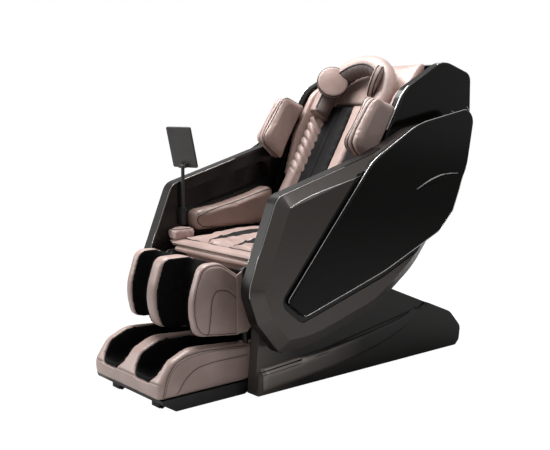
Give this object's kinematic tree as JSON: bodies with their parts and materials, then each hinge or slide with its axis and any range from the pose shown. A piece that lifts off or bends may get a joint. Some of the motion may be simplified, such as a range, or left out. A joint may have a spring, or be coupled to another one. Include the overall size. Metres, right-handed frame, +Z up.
{
  "type": "massage chair",
  "caption": "Armchair-shaped full-body massage machine with a reclining winged back, roller carriage, padded arms, calf and foot wells and a hand tablet.",
  "frame": {"origin": "on the floor, on the middle plane, 50 mm in front of the seat tilt pin and roughly under the middle of the chair", "axes": "+Z up, -Y the front (the feet), +X the sitter's left, X = 0 the middle plane"},
  "size_m": [0.772, 1.4759, 1.2227],
  "materials": {
    "pink_leather": "soft satin leather",
    "black_fabric": "knitted black fabric",
    "frame_paint": "satin powder coat",
    "black_plastic": "fine grain",
    "black_rubber": "matt",
    "wheel_plastic": "matt",
    "red_plastic": "satin",
    "gloss_black": "high gloss",
    "bronze_paint": "metallic gloss",
    "band_silver": "satin metallic",
    "bright_steel": "ground",
    "actuator_grey": "satin",
    "screen_glass": "dark glass look",
    "roller_rubber": "smooth"
  },
  "bodies": {
    "base": {"base_frame": "frame_paint", "base_cover_left": "black_plastic", "base_cover_right": "black_plastic", "rubber_feet": "black_rubber", "base_rear_cover": "black_plastic", "mains_inlet": "black_plastic", "rocker_frame": "black_plastic"},
    "power_rocker": {"power_rocker": "red_plastic"},
    "transport_wheels": {"transport_wheels": "wheel_plastic"},
    "tilt_actuator": {"tilt_actuator": "actuator_grey"},
    "tilt_rod": {"tilt_rod": "bright_steel"},
    "seat": {"seat_frame": "frame_paint", "seat_cushion": "pink_leather", "seat_flap": "pink_leather", "arm_shell_left": "bronze_paint", "arm_shell_right": "bronze_paint", "arm_band_left": "band_silver", "arm_band_right": "band_silver", "arm_panel_left": "gloss_black", "arm_panel_right": "gloss_black", "arm_liner_left": "black_plastic", "arm_liner_right": "black_plastic", "arm_pad_left": "pink_leather", "arm_pad_right": "pink_leather", "tablet_socket": "black_plastic"},
    "recline_actuator": {"recline_actuator": "actuator_grey"},
    "recline_rod": {"recline_rod": "bright_steel"},
    "tablet_pole": {"tablet_pole": "bright_steel"},
    "tablet": {"tablet_case": "black_plastic", "tablet_screen": "screen_glass"},
    "leg_rest": {"calf_shell": "pink_leather", "calf_lining": "black_fabric", "knee_frame": "frame_paint"},
    "foot_rest": {"foot_shell": "pink_leather", "foot_lining": "black_fabric", "foot_tray": "black_plastic"},
    "foot_wheels": {"foot_wheels": "black_rubber"},
    "backrest": {"back_frame": "frame_paint", "back_shell": "gloss_black", "side_shell_left": "gloss_black", "side_shell_right": "gloss_black", "wing_lining": "pink_leather", "back_pad": "black_fabric", "head_cushion": "pink_leather", "head_arch": "pink_leather", "ear_pads": "pink_leather", "shoulder_pad_left": "pink_leather", "shoulder_pad_right": "pink_leather"},
    "massage_carriage": {"massage_carriage": "frame_paint"},
    "drive_shaft": {"drive_shaft": "bright_steel"},
    "guide_shaft": {"guide_shaft": "bright_steel"},
    "knead_shaft": {"knead_shaft": "bright_steel"},
    "massage_arm_left": {"massage_arm_left": "frame_paint"},
    "massage_arm_right": {"massage_arm_right": "frame_paint"},
    "roller_lower_left": {"roller_lower_left": "roller_rubber"},
    "roller_upper_left": {"roller_upper_left": "roller_rubber"},
    "roller_lower_right": {"roller_lower_right": "roller_rubber"},
    "roller_upper_right": {"roller_upper_right": "roller_rubber"}
  },
  "joints": [
    {"name": "seat_tilt", "type": "hinge", "parent": "base", "child": "seat", "pos_m": [0, 0.05, 0.3], "axis": [-1, 0, 0], "range_deg": [0, 15]},
    {"name": "back_recline", "type": "hinge", "parent": "seat", "child": "backrest", "pos_m": [0, 0.095, 0.4], "axis": [-1, 0, 0], "range_deg": [0, 35]},
    {"name": "leg_lift", "type": "hinge", "parent": "seat", "child": "leg_rest", "pos_m": [0, -0.405, 0.448], "axis": [-1, 0, 0], "range_deg": [0, 80]},
    {"name": "foot_slide", "type": "slide", "parent": "leg_rest", "child": "foot_rest", "axis": [0, 0, -1], "range_m": [0, 0.08]},
    {"name": "foot_wheel_spin", "type": "hinge", "parent": "foot_rest", "child": "foot_wheels", "pos_m": [0, -0.7, 0.009], "axis": [1, 0, 0], "continuous": true},
    {"name": "transport_wheel_spin", "type": "hinge", "parent": "base", "child": "transport_wheels", "pos_m": [0, 0.6, 0.03], "axis": [1, 0, 0], "continuous": true},
    {"name": "power_rock", "type": "hinge", "parent": "base", "child": "power_rocker", "pos_m": [-0.066, 0.698, 0.048], "axis": [1, 0, 0], "range_deg": [0, 14]},
    {"name": "tilt_actuator_swing", "type": "hinge", "parent": "base", "child": "tilt_actuator", "pos_m": [0, 0.11, 0.07], "axis": [-1, 0, 0], "range_deg": [0, 7.85]},
    {"name": "tilt_rod_slide", "type": "slide", "parent": "tilt_actuator", "child": "tilt_rod", "axis": [0, -0.7481, 0.6636], "range_m": [0, 0.03118]},
    {"name": "recline_actuator_swing", "type": "hinge", "parent": "seat", "child": "recline_actuator", "pos_m": [0.11, -0.29, 0.34], "axis": [-1, 0, 0], "range_deg": [-4, 0]},
    {"name": "recline_rod_slide", "type": "slide", "parent": "recline_actuator", "child": "recline_rod", "axis": [0, 1, 0.0019], "range_m": [-0.02946, 0]},
    {"name": "tablet_swivel", "type": "hinge", "parent": "seat", "child": "tablet_pole", "pos_m": [-0.287, -0.312, 0.6], "axis": [0, 0, 1], "range_deg": [-60, 40]},
    {"name": "tablet_tilt", "type": "hinge", "parent": "tablet_pole", "child": "tablet", "pos_m": [-0.287, -0.312, 0.784], "axis": [0.9659, 0.2588, 0], "range_deg": [-15, 20]},
    {"name": "massage_travel", "type": "slide", "parent": "backrest", "child": "massage_carriage", "axis": [0, 0.515, 0.8572], "range_m": [0, 0.28]},
    {"name": "drive_spin", "type": "hinge", "parent": "massage_carriage", "child": "drive_shaft", "pos_m": [0, 0.22994, 0.62458], "axis": [1, 0, 0], "continuous": true},
    {"name": "guide_spin", "type": "hinge", "parent": "massage_carriage", "child": "guide_shaft", "pos_m": [0, 0.27526, 0.70001], "axis": [1, 0, 0], "continuous": true},
    {"name": "knead_spin", "type": "hinge", "parent": "massage_carriage", "child": "knead_shaft", "pos_m": [0, 0.26632, 0.65405], "axis": [1, 0, 0], "continuous": true},
    {"name": "arm_nod_left", "type": "hinge", "parent": "massage_carriage", "child": "massage_arm_left", "pos_m": [0, 0.26632, 0.65405], "axis": [1, 0, 0], "range_deg": [-8, 8]},
    {"name": "arm_nod_right", "type": "hinge", "parent": "massage_carriage", "child": "massage_arm_right", "pos_m": [0, 0.26632, 0.65405], "axis": [1, 0, 0], "range_deg": [-8, 8]},
    {"name": "roller_lower_left_spin", "type": "hinge", "parent": "massage_arm_left", "child": "roller_lower_left", "pos_m": [0.087, 0.20044, 0.62597], "axis": [1, 0, 0], "continuous": true},
    {"name": "roller_upper_left_spin", "type": "hinge", "parent": "massage_arm_left", "child": "roller_upper_left", "pos_m": [0.087, 0.26019, 0.7254], "axis": [1, 0, 0], "continuous": true},
    {"name": "roller_lower_right_spin", "type": "hinge", "parent": "massage_arm_right", "child": "roller_lower_right", "pos_m": [-0.087, 0.20044, 0.62597], "axis": [1, 0, 0], "continuous": true},
    {"name": "roller_upper_right_spin", "type": "hinge", "parent": "massage_arm_right", "child": "roller_upper_right", "pos_m": [-0.087, 0.26019, 0.7254], "axis": [1, 0, 0], "continuous": true}
  ],
  "couplings": [
    {"joint": "foot_slide", "follows": "leg_lift", "m_per_rad": 0.057},
    {"joint": "tilt_actuator_swing", "follows": "seat_tilt", "ratio": 0.52168},
    {"joint": "tilt_rod_slide", "follows": "seat_tilt", "m_per_rad": 0.11835},
    {"joint": "recline_actuator_swing", "follows": "back_recline", "ratio": -0.11377},
    {"joint": "recline_rod_slide", "follows": "back_recline", "m_per_rad": -0.047904},
    {"joint": "arm_nod_right", "follows": "arm_nod_left", "ratio": -1}
  ]
}
